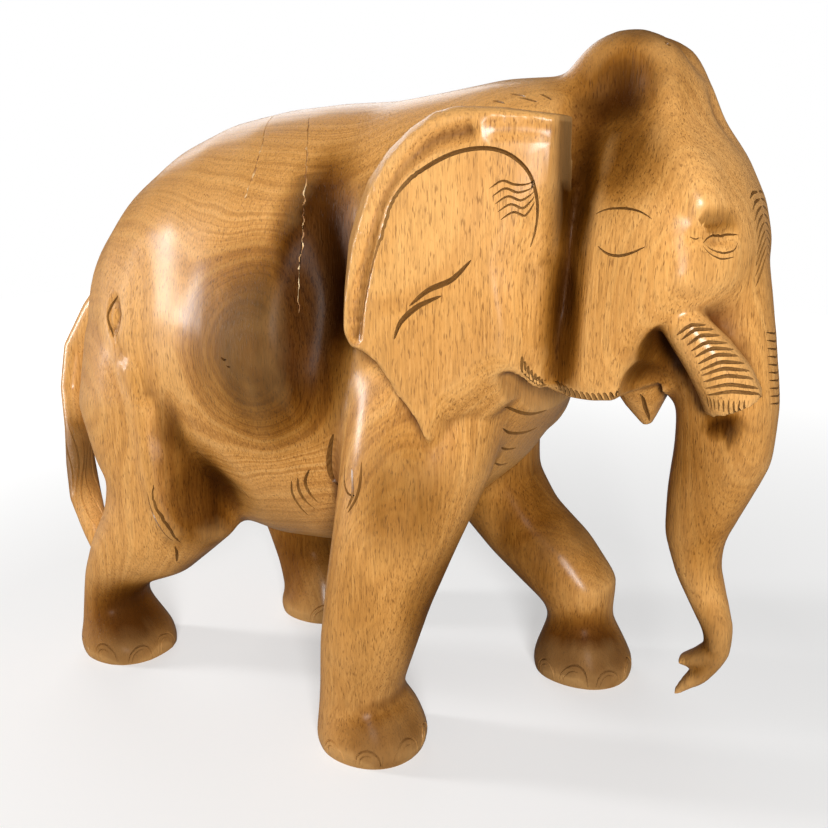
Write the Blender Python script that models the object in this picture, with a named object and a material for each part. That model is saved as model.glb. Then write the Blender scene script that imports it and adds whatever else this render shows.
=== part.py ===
"""Carved wooden elephant, one block of hardwood, walking pose.

Lengths in the tables are millimetres, +X towards the trunk, +Y to the animal's
left and +Z up; everything is scaled to metres when a ring or ball is placed.
"""
import math

import bpy
import bmesh
from mathutils import Matrix, Vector
from mathutils.bvhtree import BVHTree

MM = 0.001

# overall driving dimensions (mm)
RING_SIDES = 40          # vertices round each body ring
BLEND_VOXEL = 2.2        # voxel of the first union, which softens the limbs' joins
CRISP_VOXEL = 1.5        # voxel of the second union, with ears and lips
BLEND_SMOOTH = 14        # smoothing passes after the first union
CRISP_SMOOTH = 5         # smoothing passes after the second union
BLOCK_TRIANGLES = 10500  # triangle budget of the block

# torso: x, top z, bottom z, half width, corner exponent
TORSO = [
    (-154.2, 161.0, 127.0, 20.0, 2.2),
    (-149.2, 174.0, 108.0, 34.0, 2.3),
    (-141.4, 190.6, 93.0, 46.0, 2.3),
    (-125.0, 207.8, 79.0, 53.0, 2.2),
    (-106.0, 220.2, 67.0, 57.5, 2.1),
    (-84.0, 228.0, 60.0, 60.5, 2.1),
    (-60.0, 231.9, 57.0, 62.0, 2.1),
    (-36.0, 233.5, 59.0, 60.0, 2.1),
    (-12.0, 233.5, 66.0, 55.0, 2.2),
    (12.0, 236.0, 80.0, 51.0, 2.5),
    (34.0, 238.8, 100.0, 48.0, 2.7),
    (50.0, 238.7, 125.0, 45.0, 2.8),
    (60.0, 237.0, 140.0, 41.0, 2.8),
]

# head: z, back x, front x, half width, corner exponent
HEAD = [
    (131.0, 56.0, 88.0, 33.0, 3.4),
    (140.0, 52.0, 94.0, 37.0, 3.2),
    (150.0, 51.0, 97.0, 38.0, 3.0),
    (158.0, 50.0, 101.0, 38.5, 2.8),
    (166.0, 50.0, 110.0, 38.5, 2.7),
    (175.0, 50.0, 118.0, 38.5, 2.6),
    (187.0, 50.0, 119.0, 38.0, 2.6),
    (200.0, 50.0, 116.0, 36.0, 2.5),
    (213.0, 52.0, 109.8, 32.0, 2.4),
    (224.0, 55.0, 101.8, 28.0, 2.3),
    (236.0, 60.0, 96.8, 23.0, 2.2),
]
DOME = ((74.2, -7.5, 228.0), (22.5, 16.0, 23.8))   # centre, radii of the near crown dome
NECK_SIDE = ((40.0, -20.0, 174.0), (22.5, 27.5, 50.0))   # swells the neck out to the ear root
CHEST_SIDE = ((29.0, -29.0, 128.0), (16.0, 17.0, 22.0))  # swells the chest out under the ear
BROW = ((102.0, -23.5, 197.0), (11.0, 8.0, 10.0))

# limbs: x, y, z, half width across, half depth fore and aft
TRUNK = [
    (98.0, 0.0, 196.0, 20.0, 18.5),
    (102.8, 0.0, 175.0, 20.0, 17.8),
    (107.4, 0.0, 154.0, 18.5, 17.0),
    (111.2, 0.0, 134.0, 17.5, 16.2),
    (110.8, 0.0, 118.0, 15.5, 16.0),
    (106.4, 0.0, 101.0, 13.0, 13.2),
    (103.9, 0.0, 87.0, 11.0, 10.4),
    (105.8, 0.0, 75.0, 9.4, 7.8),
    (110.8, 0.0, 63.0, 8.0, 6.4),
    (114.8, 0.0, 53.0, 7.0, 5.2),
    (114.4, 0.0, 45.0, 6.4, 4.9),
    (109.8, 0.0, 36.0, 5.8, 4.2),
    (100.2, 0.0, 24.5, 3.6, 1.8),
]
TRUNK_LOBE = [
    (113.0, 0.0, 45.5, 6.0, 4.0),
    (108.0, 0.0, 41.5, 5.4, 3.2),
    (102.0, 0.0, 39.0, 3.4, 1.6),
]
LOWER_LIP = [
    (82.0, 0.0, 152.0, 20.0, 13.0),
    (82.5, 0.0, 141.0, 16.0, 11.0),
    (83.5, 0.0, 132.0, 9.0, 6.5),
    (84.8, 0.0, 124.0, 2.5, 1.5),
]
SHEATH = [
    (96.0, -27.0, 169.5, 5.0, 5.0),
    (102.5, -27.0, 163.0, 6.5, 6.5),
    (109.0, -24.5, 155.0, 7.5, 7.8),
    (114.0, -21.5, 147.0, 8.2, 8.8),
    (117.0, -19.0, 139.5, 8.2, 9.2),
]
LEG_FRONT_NEAR = [
    (18.0, -34.0, 140.0, 22.0, 30.0),
    (16.0, -40.0, 112.0, 23.0, 27.0),
    (11.0, -46.0, 86.0, 20.5, 22.5),
    (5.0, -48.0, 62.0, 18.5, 19.5),
    (0.3, -49.0, 40.0, 17.3, 17.3),
    (-2.7, -49.0, 22.0, 15.8, 15.0),
    (-0.5, -48.5, 12.0, 19.0, 18.8),
    (1.7, -48.5, 5.0, 20.7, 21.5),
    (1.7, -48.5, -4.0, 17.5, 18.4),
]
LEG_FRONT_FAR = [
    (4.0, 34.0, 140.0, 22.0, 30.0),
    (-1.0, 40.0, 112.0, 22.0, 28.0),
    (1.5, 43.0, 94.0, 21.0, 24.0),
    (6.6, 44.0, 76.0, 20.0, 20.5),
    (20.0, 45.0, 59.5, 18.5, 17.8),
    (36.6, 45.0, 46.3, 17.3, 17.4),
    (47.2, 45.0, 35.0, 16.3, 16.2),
    (47.4, 45.0, 23.5, 14.3, 13.2),
    (48.3, 44.0, 13.0, 18.3, 18.2),
    (49.9, 43.5, 5.0, 20.5, 21.6),
    (49.9, 43.5, -4.0, 18.5, 19.8),
]
LEG_HIND_NEAR = [
    (-112.0, -30.0, 140.0, 24.0, 40.0),
    (-113.0, -36.0, 114.0, 24.0, 40.0),
    (-105.5, -39.0, 92.0, 22.0, 36.0),
    (-104.5, -40.0, 74.0, 21.0, 32.0),
    (-117.5, -41.0, 57.0, 20.0, 23.0),
    (-130.5, -42.5, 45.0, 18.0, 16.5),
    (-137.8, -43.0, 34.0, 16.0, 13.0),
    (-141.0, -43.0, 24.0, 15.0, 11.8),
    (-139.6, -43.0, 15.0, 17.5, 14.0),
    (-134.8, -43.0, 7.0, 20.5, 20.0),
    (-133.4, -43.0, 0.0, 20.0, 20.4),
    (-133.0, -43.0, -5.0, 15.5, 16.5),
]
LEG_HIND_FAR = [
    (-104.0, 30.0, 140.0, 24.0, 36.0),
    (-104.0, 34.0, 112.0, 24.0, 35.0),
    (-102.0, 36.0, 86.0, 22.0, 31.0),
    (-98.7, 36.0, 62.0, 20.0, 24.0),
    (-94.2, 36.0, 42.0, 17.5, 18.0),
    (-90.2, 36.0, 27.0, 16.0, 16.5),
    (-83.0, 35.0, 14.0, 18.5, 18.5),
    (-80.8, 34.0, 5.0, 21.0, 22.0),
    (-80.8, 34.0, -4.0, 18.8, 20.0),
]
TAIL = [
    (-140.0, 0.0, 180.0, 11.0, 11.0),
    (-158.0, -5.0, 162.0, 10.0, 10.0),
    (-174.6, -11.0, 144.0, 8.0, 8.0),
    (-185.0, -16.0, 127.0, 6.6, 6.6),
    (-186.0, -20.0, 109.0, 5.8, 5.8),
    (-180.0, -25.0, 92.0, 5.4, 5.4),
    (-172.0, -31.0, 77.0, 6.4, 6.4),
    (-164.5, -36.0, 64.0, 6.8, 6.8),
    (-155.0, -40.0, 52.0, 5.6, 5.6),
    (-148.5, -42.0, 42.0, 4.3, 4.3),
    (-144.0, -43.0, 35.0, 3.0, 3.0),
]

# pale filler in the two drying checks: x, y, z of points just off the skin, top to bottom
CHECK_BACK = [
    (-62.0, -17.0, 229.0), (-57.0, -27.0, 223.5), (-52.0, -36.0, 218.0), (-49.8, -43.0, 210.0),
    (-49.2, -50.0, 199.0),
]
CHECK_FLANK = [
    (-41.0, -22.0, 229.0), (-34.0, -32.5, 222.0), (-29.0, -40.0, 213.0), (-25.5, -46.0, 204.0),
    (-23.0, -51.0, 192.0), (-21.2, -54.5, 179.0), (-19.6, -57.0, 163.0),
]
FILL_WIDTH = 1.1         # filler strip across the crack
FILL_DEPTH = 2.2         # filler strip into the wood
FILL_GAP = 0.35          # clearance round each strip
FILL_SUNK = 0.15         # filler's top below the skin
SLOT_TOP = 3.0           # cutter's top above the skin
SLOT_OVER = 0.6          # slot longer than its strip at each end

# ear outline round the flap: x, z, how far the edge is sunk into the neck, width of its bevel
EAR = [
    (66.8, 224.5, 0.0, 1.0), (58.5, 225.6, 0.0, 1.2), (50.0, 226.8, 0.0, 1.6), (37.5, 227.2, 0.0, 2.5),
    (31.0, 225.6, 0.0, 3.5), (23.5, 221.0, 0.0, 4.5), (16.2, 214.4, 0.0, 5.5), (9.6, 206.2, 0.0, 6.5),
    (5.4, 196.6, 0.0, 7.0), (2.4, 187.6, 0.0, 7.0), (1.0, 175.0, 0.0, 6.5), (0.9, 164.0, 0.0, 5.5),
    (2.2, 157.0, 0.0, 4.0), (5.6, 153.4, 0.0, 2.5), (10.6, 152.4, 0.0, 1.5), (15.4, 149.2, 0.0, 1.0),
    (18.9, 144.2, 0.0, 1.0), (21.7, 139.3, 0.0, 1.0), (25.6, 134.8, 0.0, 1.0), (28.6, 130.2, 0.0, 1.0),
    (31.5, 123.6, 0.0, 1.0), (36.0, 125.0, 8.0, 1.0), (41.0, 127.5, 11.0, 1.0), (46.0, 131.0, 11.0, 1.0),
    (51.0, 136.0, 10.0, 1.0), (56.0, 139.0, 9.0, 1.0), (62.0, 141.0, 9.0, 1.0), (64.5, 152.0, 9.0, 1.0),
    (65.2, 166.0, 9.0, 1.0), (65.8, 180.0, 8.0, 1.0), (66.4, 192.0, 5.0, 1.0), (66.8, 206.0, 1.0, 1.0),
]
EAR_MIDDLE = (36.0, 182.0)
EAR_FRONT = (66.8, 47.0)   # x of the front edge and how far out its face stands
EAR_BACK = (4.0, 68.0)     # the same at the free rear edge
EAR_BULGE = 1.3            # exponent of the face's curve from back to front
EAR_THICK = 13.0
# rings of the ear from its back to its face: the part of the bevel, a run inwards from the
# edge beyond it, the part of the sunk depth and a depth below the face
EAR_RINGS = ((0.0, 0.0, 1.0, EAR_THICK), (0.0, 0.0, 1.0, 1.2), (1.0, 0.0, 1.0, 0.0),
             (1.0, 4.0, 0.68, 0.0), (1.0, 9.0, 0.22, 0.0), (1.0, 15.0, 0.0, 0.0))

# outline of the wood sawn away under the jaw: x, z
JAW_SAW = [
    (51.0, 147.5), (54.5, 148.0), (57.0, 145.8), (59.0, 142.6), (62.5, 140.4), (70.5, 138.6), (77.0, 138.4),
    (83.0, 139.0), (88.5, 140.6), (93.0, 142.5), (93.0, 116.0), (51.0, 116.0),
]
SAW_REACH = 54.0         # the saw's half length across the animal
# scoops between the cheek and the tusk sheath: centre, radii
MOUTH_SCOOPS = [
    ((99.0, -33.0, 149.0), (9.5, 18.0, 15.5)),
    ((94.5, -31.0, 140.5), (9.5, 17.0, 13.0)),
]
FAR_SHEATH = 0.85        # size of the far sheath beside the near one
FAR_SHEATH_BACK = 4.5    # how far back the far sheath stands


def clear():
    for ob in list(bpy.data.objects):
        bpy.data.objects.remove(ob, do_unlink=True)


def new_object(name, bm):
    me = bpy.data.meshes.new(name)
    bmesh.ops.recalc_face_normals(bm, faces=bm.faces)
    bm.to_mesh(me)
    bm.free()
    ob = bpy.data.objects.new(name, me)
    bpy.context.scene.collection.objects.link(ob)
    return ob


def squircle(angle, power):
    """Point on a unit superellipse at this angle."""
    c, s = math.cos(angle), math.sin(angle)
    k = (abs(c) ** power + abs(s) ** power) ** (-1.0 / power)
    return c * k, s * k


def bridge(bm, rings):
    """Joins consecutive rings of vertices and closes both ends."""
    for a, b in zip(rings[:-1], rings[1:]):
        edges = [e for r in (a, b) for e in ring_edges(bm, r)]
        bmesh.ops.bridge_loops(bm, edges=edges)
    for r in (rings[0], rings[-1]):
        face = bm.faces.new(r)
        bmesh.ops.poke(bm, faces=[face])


def ring_edges(bm, ring):
    out = []
    for i, v in enumerate(ring):
        w = ring[(i + 1) % len(ring)]
        e = bm.edges.get((v, w))
        out.append(e if e else bm.edges.new((v, w)))
    return out


def add_ring(bm, centre, u, v, ru, rv, power, sides):
    ring = []
    for i in range(sides):
        c, s = squircle(2.0 * math.pi * i / sides, power)
        p = Vector(centre) + u * (c * ru) + v * (s * rv)
        ring.append(bm.verts.new(p * MM))
    return ring


def torso():
    bm = bmesh.new()
    rings = []
    for x, top, low, half, power in TORSO:
        rings.append(add_ring(bm, (x, 0.0, 0.5 * (top + low)), Vector((0, 1, 0)), Vector((0, 0, 1)),
                              half, 0.5 * (top - low), power, RING_SIDES))
    bridge(bm, rings)
    return new_object("torso", bm)


def head():
    bm = bmesh.new()
    rings = []
    for z, back, front, half, power in HEAD:
        rings.append(add_ring(bm, (0.5 * (back + front), 0.0, z), Vector((1, 0, 0)), Vector((0, 1, 0)),
                              0.5 * (front - back), half, power, RING_SIDES))
    bridge(bm, rings)
    return new_object("head", bm)


def limb(name, stations, power=2.2, sides=28):
    """Round limb along its stations; rings stand square to the run of centres."""
    bm = bmesh.new()
    rings = []
    pts = [Vector(s[:3]) for s in stations]
    for i, s in enumerate(stations):
        run = (pts[min(i + 1, len(pts) - 1)] - pts[max(i - 1, 0)]).normalized()
        if s[2] < 8.0 and name.startswith("leg"):
            run = Vector((0, 0, -1))
        side = Vector((0, 1, 0))
        side = (side - run * side.dot(run)).normalized()
        fore = run.cross(side).normalized()
        rings.append(add_ring(bm, pts[i], side, fore, s[3], s[4], power, sides))
    bridge(bm, rings)
    return new_object(name, bm)


def ball(name, centre, radii):
    bm = bmesh.new()
    bmesh.ops.create_icosphere(bm, subdivisions=4, radius=1.0)
    size = Matrix.Diagonal((radii[0] * MM, radii[1] * MM, radii[2] * MM, 1.0))
    bmesh.ops.transform(bm, matrix=Matrix.Translation(Vector(centre) * MM) @ size, verts=bm.verts)
    return new_object(name, bm)


def ear_face(x):
    """How far out the face of the ear stands at x."""
    t = (x - EAR_BACK[0]) / (EAR_FRONT[0] - EAR_BACK[0])
    return EAR_BACK[1] + (EAR_FRONT[1] - EAR_BACK[1]) * max(t, 0.0) ** EAR_BULGE


def ear(name, side):
    """Flap with a bevelled edge, flush with the neck in front and free behind and below."""
    bm = bmesh.new()
    rings = [[] for _ in EAR_RINGS]
    middle = Vector((EAR_MIDDLE[0], 0.0, EAR_MIDDLE[1]))
    for x, z, sunk, bevel in EAR:
        edge = Vector((x, 0.0, z))
        inward = (middle - edge).normalized()
        for k, (bevels, run, sinks, deep) in enumerate(EAR_RINGS):
            p = edge + inward * (bevels * bevel + run)
            back = deep + sinks * sunk
            if k == 1:
                back += bevel
            rings[k].append(bm.verts.new(Vector((p.x, side * (ear_face(p.x) - back), p.z)) * MM))
    bridge(bm, rings)
    return new_object(name, bm)


def saw():
    """Prism of the wood under the jaw."""
    bm = bmesh.new()
    ends = []
    for y in (-SAW_REACH, SAW_REACH):
        ends.append([bm.verts.new(Vector((x, y, z)) * MM) for x, z in JAW_SAW])
    bmesh.ops.bridge_loops(bm, edges=[e for r in ends for e in ring_edges(bm, r)])
    for ring in ends:
        bmesh.ops.triangulate(bm, faces=[bm.faces.new(ring)])
    return new_object("saw", bm)


def take_out(body, tool):
    apply(body, "BOOLEAN", operation="DIFFERENCE", solver="EXACT", object=tool)
    bpy.data.objects.remove(tool, do_unlink=True)


def far_sheath():
    """The sheath on the far side is smaller and stands further back."""
    return [(x - FAR_SHEATH_BACK, -y * FAR_SHEATH, z, a * FAR_SHEATH, b * FAR_SHEATH)
            for x, y, z, a, b in SHEATH]


def join(objects, name):
    bpy.ops.object.select_all(action="DESELECT")
    for ob in objects:
        ob.select_set(True)
    bpy.context.view_layer.objects.active = objects[0]
    bpy.ops.object.join()
    ob = bpy.context.view_layer.objects.active
    ob.name = name
    ob.data.name = name
    return ob


def apply(ob, kind, **settings):
    m = ob.modifiers.new(kind.title(), kind)
    for k, v in settings.items():
        setattr(m, k, v)
    bpy.context.view_layer.objects.active = ob
    bpy.ops.object.modifier_apply(modifier=m.name)


def flat_soles(ob):
    """Cuts the feet off square so that all four stand on one level."""
    bm = bmesh.new()
    bm.from_mesh(ob.data)
    geom = bm.verts[:] + bm.edges[:] + bm.faces[:]
    cut = bmesh.ops.bisect_plane(bm, geom=geom, dist=1e-6, plane_co=(0, 0, 0), plane_no=(0, 0, 1),
                                 clear_inner=True)
    rim = [e for e in cut["geom_cut"] if isinstance(e, bmesh.types.BMEdge)]
    bmesh.ops.holes_fill(bm, edges=rim, sides=0)
    bmesh.ops.triangulate(bm, faces=bm.faces[:])
    bmesh.ops.recalc_face_normals(bm, faces=bm.faces)
    bm.to_mesh(ob.data)
    bm.free()


def strip(name, tree, points, width, top, depth, over=0.0):
    """Bar along these points, from `top` above the skin to `depth` below, `over` longer at each end."""
    bm = bmesh.new()
    foot = []
    for p in points:
        place, normal, _, _ = tree.find_nearest(Vector(p) * MM)
        foot.append((place, normal))
    rings = []
    for i, (place, normal) in enumerate(foot):
        run = foot[min(i + 1, len(foot) - 1)][0] - foot[max(i - 1, 0)][0]
        across = run.cross(normal).normalized() * (0.5 * width * MM)
        hi = place + normal * (top * MM)
        low = place - normal * (depth * MM)
        rings.append([bm.verts.new(q) for q in (hi - across, hi + across, low + across, low - across)])
    for ring, ahead in ((rings[0], rings[1]), (rings[-1], rings[-2])):
        for v, w in zip(ring, ahead):
            v.co += (v.co - w.co).normalized() * (over * MM)
    for a, b in zip(rings[:-1], rings[1:]):
        bmesh.ops.bridge_loops(bm, edges=[e for r in (a, b) for e in ring_edges(bm, r)])
    bm.faces.new(rings[0])
    bm.faces.new(rings[-1])
    bmesh.ops.triangulate(bm, faces=bm.faces[:])
    return new_object(name, bm)


def fill_checks(body):
    """Slots in the block and the filler bodies that sit in them, level with the skin."""
    bm = bmesh.new()
    bm.from_mesh(body.data)
    tree = BVHTree.FromBMesh(bm)
    bm.free()
    strips = []
    for name, points in (("check_filler_back", CHECK_BACK), ("check_filler_flank", CHECK_FLANK)):
        slot = strip("slot_" + name, tree, points, FILL_WIDTH + 2.0 * FILL_GAP, SLOT_TOP,
                     FILL_DEPTH + FILL_GAP, SLOT_OVER)
        take_out(body, slot)
        strips.append(strip(name, tree, points, FILL_WIDTH, -FILL_SUNK, FILL_DEPTH))
    return strips


def paint(ob, name, colour, rough):
    mat = bpy.data.materials.new(name)
    mat.use_nodes = True
    shader = mat.node_tree.nodes["Principled BSDF"]
    shader.inputs["Base Color"].default_value = (*colour, 1.0)
    shader.inputs["Roughness"].default_value = rough
    mat.diffuse_color = (*colour, 1.0)
    ob.data.materials.clear()
    ob.data.materials.append(mat)


def centre(objects):
    """Middle of the plan box over the origin, soles on z = 0."""
    pts = [v.co for ob in objects for v in ob.data.vertices]
    mid = Vector((0.5 * (min(p.x for p in pts) + max(p.x for p in pts)),
                  0.5 * (min(p.y for p in pts) + max(p.y for p in pts)), 0.0))
    for ob in objects:
        ob.data.transform(Matrix.Translation(-mid))


def block():
    limbs = [torso(), head(), limb("trunk", TRUNK),
             limb("leg_fn", LEG_FRONT_NEAR), limb("leg_ff", LEG_FRONT_FAR),
             limb("leg_hn", LEG_HIND_NEAR), limb("leg_hf", LEG_HIND_FAR)]
    for side in (1.0, -1.0):
        for c, r in (DOME, BROW, NECK_SIDE, CHEST_SIDE):
            limbs.append(ball("swell", (c[0], side * c[1], c[2]), r))
    body = join(limbs, "carved_block")
    apply(body, "REMESH", mode="VOXEL", voxel_size=BLEND_VOXEL * MM)
    apply(body, "SMOOTH", factor=0.5, iterations=BLEND_SMOOTH)
    ears = [ear("ear_far", 1.0), ear("ear_near", -1.0)]
    for form in [body] + ears:
        take_out(form, saw())
    for c, r in MOUTH_SCOOPS:
        for side in (1.0, -1.0):
            take_out(body, ball("scoop", (c[0], side * c[1], c[2]), r))
    body = join([body] + ears + [limb("tail", TAIL), limb("lobe", TRUNK_LOBE), limb("lip", LOWER_LIP),
                                 limb("sheath_near", SHEATH), limb("sheath_far", far_sheath())],
                "carved_block")
    apply(body, "REMESH", mode="VOXEL", voxel_size=CRISP_VOXEL * MM)
    apply(body, "SMOOTH", factor=0.5, iterations=CRISP_SMOOTH)
    count = len(body.data.polygons) * 2
    apply(body, "DECIMATE", decimate_type="COLLAPSE", ratio=BLOCK_TRIANGLES / count)
    flat_soles(body)
    return body


def main():
    clear()
    body = block()
    strips = fill_checks(body)
    centre([body] + strips)
    paint(body, "varnished_hardwood", (0.42, 0.20, 0.07), 0.38)
    for ob in strips:
        paint(ob, "pale_filler", (0.62, 0.45, 0.27), 0.6)


main()
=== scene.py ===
"""Carved wooden elephant: the looks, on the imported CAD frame.

Modelling lengths are millimetres: +X towards the trunk, +Y to the animal's left
(the far side), +Z up, with the near front foot close to x = 0. The finished
pieces are then fitted to the frame's box, in metres.
"""
import math
import random

import bpy
import bmesh
import numpy as np
from mathutils import Matrix, Vector
from mathutils.bvhtree import BVHTree
from mathutils.kdtree import KDTree


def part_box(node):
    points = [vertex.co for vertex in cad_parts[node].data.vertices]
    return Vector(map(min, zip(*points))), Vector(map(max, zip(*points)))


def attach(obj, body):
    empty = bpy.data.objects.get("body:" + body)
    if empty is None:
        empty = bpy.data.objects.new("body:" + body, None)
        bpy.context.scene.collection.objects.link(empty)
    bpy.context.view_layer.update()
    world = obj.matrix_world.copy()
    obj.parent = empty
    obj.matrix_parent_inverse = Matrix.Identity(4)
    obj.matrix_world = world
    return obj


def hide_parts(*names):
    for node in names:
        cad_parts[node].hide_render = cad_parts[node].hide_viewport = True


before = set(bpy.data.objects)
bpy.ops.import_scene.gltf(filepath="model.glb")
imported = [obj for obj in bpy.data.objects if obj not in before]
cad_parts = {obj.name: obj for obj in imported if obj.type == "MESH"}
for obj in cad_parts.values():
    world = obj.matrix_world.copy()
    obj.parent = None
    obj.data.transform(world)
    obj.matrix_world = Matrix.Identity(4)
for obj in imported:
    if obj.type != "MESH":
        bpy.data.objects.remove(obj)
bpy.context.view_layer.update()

MM = 0.001
BODY_SIDES = 48          # vertices in a ring of the torso or the head
LIMB_SIDES = 32          # vertices in a ring of a limb
BLEND_VOXEL = 2.2        # first union: soft joins of body and limbs
BLEND_ROUNDS = 14        # and how often it is smoothed
CRISP_VOXEL = 1.15       # second union: ears, tail, lip and tusk sheaths
CRISP_ROUNDS = 5
SKIN_TRIANGLES = 125000  # budget of the skin before the cuts are made
SHARP_EDGE = 38.0        # degrees: edges above this stay crisp

# torso: x, top z, bottom z, half width, corner exponent
TORSO = [
    (-154.2, 161.0, 127.0, 20.0, 2.2),
    (-149.2, 174.0, 108.0, 34.0, 2.3),
    (-141.4, 190.6, 93.0, 46.0, 2.3),
    (-125.0, 207.8, 79.0, 53.0, 2.2),
    (-106.0, 220.2, 67.0, 57.5, 2.1),
    (-84.0, 228.0, 60.0, 60.5, 2.1),
    (-60.0, 231.9, 57.0, 62.0, 2.1),
    (-36.0, 233.5, 59.0, 60.0, 2.1),
    (-12.0, 233.5, 66.0, 55.0, 2.2),
    (12.0, 236.0, 80.0, 51.0, 2.5),
    (34.0, 238.8, 100.0, 48.0, 2.7),
    (50.0, 238.7, 125.0, 45.0, 2.8),
    (60.0, 237.0, 140.0, 41.0, 2.8),
]
# head: z, back x, front x, half width, corner exponent
HEAD = [
    (131.0, 56.0, 88.0, 33.0, 3.4),
    (140.0, 52.0, 94.0, 37.0, 3.2),
    (150.0, 51.0, 97.0, 38.0, 3.0),
    (158.0, 50.0, 101.0, 38.5, 2.8),
    (166.0, 50.0, 110.0, 38.5, 2.7),
    (175.0, 50.0, 118.0, 38.5, 2.6),
    (187.0, 50.0, 119.0, 38.0, 2.6),
    (200.0, 50.0, 116.0, 36.0, 2.5),
    (213.0, 52.0, 109.8, 32.0, 2.4),
    (224.0, 55.0, 101.8, 28.0, 2.3),
    (236.0, 60.0, 96.8, 23.0, 2.2),
]
# swellings on both sides: centre, radii
DOME = ((74.2, -7.5, 228.0), (22.5, 16.0, 23.8))
BROW = ((97.8, -21.0, 201.0), (12.5, 9.5, 16.0))
NECK_SIDE = ((40.0, -20.0, 174.0), (22.5, 27.5, 50.0))
CHEST_SIDE = ((29.0, -29.0, 128.0), (16.0, 17.0, 22.0))

# limbs: x, y, z, half width across, half depth fore and aft
TRUNK = [
    (98.0, 0.0, 196.0, 20.0, 18.5),
    (102.8, 0.0, 175.0, 20.0, 17.8),
    (107.4, 0.0, 154.0, 18.5, 17.0),
    (111.2, 0.0, 134.0, 17.5, 16.2),
    (110.8, 0.0, 118.0, 15.5, 16.0),
    (106.4, 0.0, 101.0, 13.0, 13.2),
    (103.9, 0.0, 87.0, 11.0, 10.4),
    (105.8, 0.0, 75.0, 9.4, 7.8),
    (110.8, 0.0, 63.0, 8.0, 6.4),
    (114.8, 0.0, 53.0, 7.0, 5.2),
    (114.4, 0.0, 45.0, 6.4, 4.9),
    (109.8, 0.0, 36.0, 5.8, 4.2),
    (100.2, 0.0, 24.5, 3.6, 1.8),
]
TRUNK_LOBE = [
    (113.0, 0.0, 45.5, 6.0, 4.0),
    (108.0, 0.0, 41.5, 5.4, 3.2),
    (102.0, 0.0, 39.0, 3.4, 1.6),
]
LOWER_LIP = [
    (82.0, 0.0, 152.0, 20.0, 13.0),
    (82.5, 0.0, 141.0, 16.0, 11.0),
    (83.5, 0.0, 132.0, 9.0, 6.5),
    (84.8, 0.0, 124.0, 2.5, 1.5),
]
SHEATH = [
    (96.0, -27.0, 169.5, 5.0, 5.0),
    (102.5, -27.0, 163.0, 6.5, 6.5),
    (109.0, -24.5, 155.0, 7.5, 7.8),
    (114.0, -21.5, 147.0, 8.2, 8.8),
    (117.0, -19.0, 139.5, 8.2, 9.2),
]
LEG_FRONT_NEAR = [
    (18.0, -34.0, 140.0, 22.0, 30.0),
    (16.0, -40.0, 112.0, 23.0, 27.0),
    (11.0, -46.0, 86.0, 20.5, 22.5),
    (5.0, -48.0, 62.0, 18.5, 19.5),
    (0.3, -49.0, 40.0, 17.3, 17.3),
    (-2.7, -49.0, 22.0, 15.8, 15.0),
    (-0.5, -48.5, 12.0, 19.0, 18.8),
    (1.7, -48.5, 5.0, 20.7, 21.5),
    (1.7, -48.5, -4.0, 17.5, 18.4),
]
LEG_FRONT_FAR = [
    (4.0, 34.0, 140.0, 22.0, 30.0),
    (-1.0, 40.0, 112.0, 22.0, 28.0),
    (1.5, 43.0, 94.0, 21.0, 24.0),
    (6.6, 44.0, 76.0, 20.0, 20.5),
    (20.0, 45.0, 59.5, 18.5, 17.8),
    (36.6, 45.0, 46.3, 17.3, 17.4),
    (47.2, 45.0, 35.0, 16.3, 16.2),
    (47.4, 45.0, 23.5, 14.3, 13.2),
    (48.3, 44.0, 13.0, 18.3, 18.2),
    (49.9, 43.5, 5.0, 20.5, 21.6),
    (49.9, 43.5, -4.0, 18.5, 19.8),
]
LEG_HIND_NEAR = [
    (-112.0, -30.0, 140.0, 24.0, 40.0),
    (-113.0, -36.0, 114.0, 24.0, 40.0),
    (-105.5, -39.0, 92.0, 22.0, 36.0),
    (-104.5, -40.0, 74.0, 21.0, 32.0),
    (-117.5, -41.0, 57.0, 20.0, 23.0),
    (-130.5, -42.5, 45.0, 18.0, 16.5),
    (-137.8, -43.0, 34.0, 16.0, 13.0),
    (-141.0, -43.0, 24.0, 15.0, 11.8),
    (-139.6, -43.0, 15.0, 17.5, 14.0),
    (-134.8, -43.0, 7.0, 20.5, 20.0),
    (-133.4, -43.0, 0.0, 20.0, 20.4),
    (-133.0, -43.0, -5.0, 15.5, 16.5),
]
LEG_HIND_FAR = [
    (-104.0, 30.0, 140.0, 24.0, 36.0),
    (-104.0, 34.0, 112.0, 24.0, 35.0),
    (-102.0, 36.0, 86.0, 22.0, 31.0),
    (-98.7, 36.0, 62.0, 20.0, 24.0),
    (-94.2, 36.0, 42.0, 17.5, 18.0),
    (-90.2, 36.0, 27.0, 16.0, 16.5),
    (-83.0, 35.0, 14.0, 18.5, 18.5),
    (-80.8, 34.0, 5.0, 21.0, 22.0),
    (-80.8, 34.0, -4.0, 18.8, 20.0),
]
TAIL = [
    (-140.0, 0.0, 180.0, 11.0, 11.0),
    (-158.0, -5.0, 162.0, 10.0, 10.0),
    (-174.6, -11.0, 144.0, 8.0, 8.0),
    (-185.0, -16.0, 127.0, 6.6, 6.6),
    (-186.0, -20.0, 109.0, 5.8, 5.8),
    (-180.0, -25.0, 92.0, 5.4, 5.4),
    (-172.0, -31.0, 77.0, 6.4, 6.4),
    (-164.5, -36.0, 64.0, 6.8, 6.8),
    (-155.0, -40.0, 52.0, 5.6, 5.6),
    (-148.5, -42.0, 42.0, 4.3, 4.3),
    (-144.0, -43.0, 35.0, 3.0, 3.0),
]
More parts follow.
